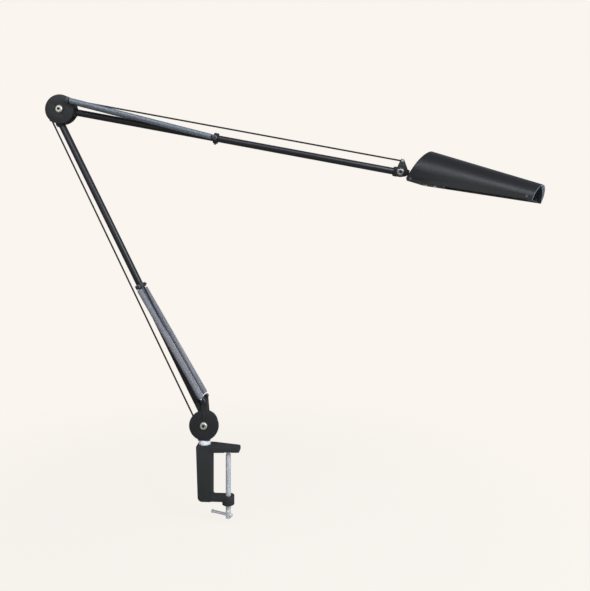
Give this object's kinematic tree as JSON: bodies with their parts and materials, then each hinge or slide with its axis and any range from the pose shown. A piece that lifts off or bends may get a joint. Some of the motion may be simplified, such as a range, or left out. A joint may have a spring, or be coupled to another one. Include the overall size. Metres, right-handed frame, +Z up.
{
  "type": "clamp-mounted spring-balanced desk lamp",
  "caption": "Desk lamp on a desk clamp, with two spring-balanced parallel-link arms and a tapered trough shade holding a twin-tube lamp.",
  "frame": {"origin": "on the clamping face under the upper jaw, in the desk top's upper surface, between the throat and the screw", "axes": "+X from the clamp's throat to its mouth, +Z up, both arms swing in the plane Y = 0 and -Y faces the viewer"},
  "size_m": [0.7057, 0.1335, 0.6213],
  "materials": {
    "black_enamel": "satin",
    "shade_enamel": "satin",
    "tube_enamel": "gloss",
    "spring_steel": "satin",
    "plated_steel": "polished",
    "rod_steel": "satin",
    "pale_plastic": "matte",
    "white_plastic": "satin",
    "lamp_glass": "gloss"
  },
  "bodies": {
    "clamp": {"clamp_frame": "black_enamel", "post_bushing": "pale_plastic"},
    "screw_tip": {"clamp_tip": "plated_steel"},
    "screw": {"clamp_screw": "plated_steel"},
    "bar": {"tommy_bar": "plated_steel"},
    "base": {"base_bracket": "black_enamel", "base_pivot_bolt": "plated_steel", "base_pivot_nut": "rod_steel", "base_spring_studs": "rod_steel", "base_link_pin": "rod_steel"},
    "lower_arm": {"lower_arm_tube": "tube_enamel", "lower_arm_foot": "black_enamel", "lower_arm_head": "black_enamel", "lower_spring_collar": "black_enamel", "lower_collar_screw": "rod_steel", "lower_collar_studs": "rod_steel", "lower_spring_front": "spring_steel", "lower_spring_rear": "spring_steel"},
    "lower_link": {"lower_link_rod": "rod_steel"},
    "elbow": {"elbow_front_disc": "black_enamel", "elbow_rear_disc": "black_enamel", "elbow_bolt": "plated_steel", "elbow_nut": "rod_steel", "elbow_arm_pin": "rod_steel", "elbow_link_pins": "rod_steel", "elbow_spring_studs": "rod_steel"},
    "upper_arm": {"upper_arm_tube": "tube_enamel", "upper_arm_foot": "black_enamel", "upper_arm_head": "black_enamel", "upper_spring_collar": "black_enamel", "upper_collar_screw": "rod_steel", "upper_collar_studs": "rod_steel", "upper_spring_front": "spring_steel", "upper_spring_rear": "spring_steel"},
    "upper_link": {"upper_link_rod": "rod_steel"},
    "bracket": {"head_bracket": "black_enamel", "head_link_pin": "plated_steel", "head_bolt": "plated_steel", "head_nut": "rod_steel"},
    "knuckle": {"head_knuckle": "black_enamel"},
    "head": {"shade_shell": "shade_enamel", "shade_tray": "shade_enamel", "shade_rivets": "plated_steel", "swivel_bracket": "shade_enamel", "swivel_pin": "plated_steel", "foot_screws": "plated_steel", "lamp_holder": "white_plastic", "lamp_cap": "white_plastic", "lamp_tubes": "lamp_glass"}
  },
  "joints": [
    {"name": "base_swivel", "type": "hinge", "parent": "clamp", "child": "base", "pos_m": [-0.0222, 0, 0.0392], "axis": [0, 0, 1], "range_deg": [-170, 170]},
    {"name": "lower_arm_tilt", "type": "hinge", "parent": "base", "child": "lower_arm", "pos_m": [-0.0222, 0, 0.0392], "axis": [0, -1, 0], "range_deg": [-12, 30], "deforming": ["lower_spring_front", "lower_spring_rear"]},
    {"name": "lower_link_turn", "type": "hinge", "parent": "base", "child": "lower_link", "pos_m": [-0.0282, 0, 0.0271], "axis": [0, -1, 0], "range_deg": [-13, 31]},
    {"name": "elbow_turn", "type": "hinge", "parent": "lower_arm", "child": "elbow", "pos_m": [-0.24697, 0, 0.49923], "axis": [0, -1, 0], "range_deg": [-31, 13]},
    {"name": "upper_arm_tilt", "type": "hinge", "parent": "elbow", "child": "upper_arm", "pos_m": [-0.23757, 0, 0.50173], "axis": [0, -1, 0], "range_deg": [-35, 30], "deforming": ["upper_spring_front", "upper_spring_rear"]},
    {"name": "upper_link_turn", "type": "hinge", "parent": "elbow", "child": "upper_link", "pos_m": [-0.23444, 0, 0.51823], "axis": [0, -1, 0], "range_deg": [-36, 31]},
    {"name": "head_bracket_turn", "type": "hinge", "parent": "upper_arm", "child": "bracket", "pos_m": [0.26152, 0, 0.40697], "axis": [0, -1, 0], "range_deg": [-31, 36]},
    {"name": "head_tilt", "type": "hinge", "parent": "bracket", "child": "knuckle", "pos_m": [0.26152, 0, 0.40697], "axis": [0, -1, 0], "range_deg": [-50, 40]},
    {"name": "head_swivel", "type": "hinge", "parent": "knuckle", "child": "head", "pos_m": [0.28709, 0, 0.40226], "axis": [0.1814, 0, 0.9834], "range_deg": [-22, 78]},
    {"name": "screw_travel", "type": "slide", "parent": "clamp", "child": "screw_tip", "axis": [0, 0, -1], "range_m": [0, 0.04]},
    {"name": "screw_turn", "type": "hinge", "parent": "screw_tip", "child": "screw", "pos_m": [0.0124, 0, 0], "axis": [0, 0, -1], "range_deg": [0, 11548.8]},
    {"name": "bar_slide", "type": "slide", "parent": "screw", "child": "bar", "axis": [0.9272, -0.3746, 0], "range_m": [0, 0.022]}
  ],
  "couplings": [
    {"joint": "lower_link_turn", "follows": "lower_arm_tilt", "ratio": 1},
    {"joint": "elbow_turn", "follows": "lower_arm_tilt", "ratio": -1},
    {"joint": "upper_link_turn", "follows": "upper_arm_tilt", "ratio": 1},
    {"joint": "head_bracket_turn", "follows": "upper_arm_tilt", "ratio": -1},
    {"joint": "screw_turn", "follows": "screw_travel", "rad_per_m": 5026.5}
  ]
}
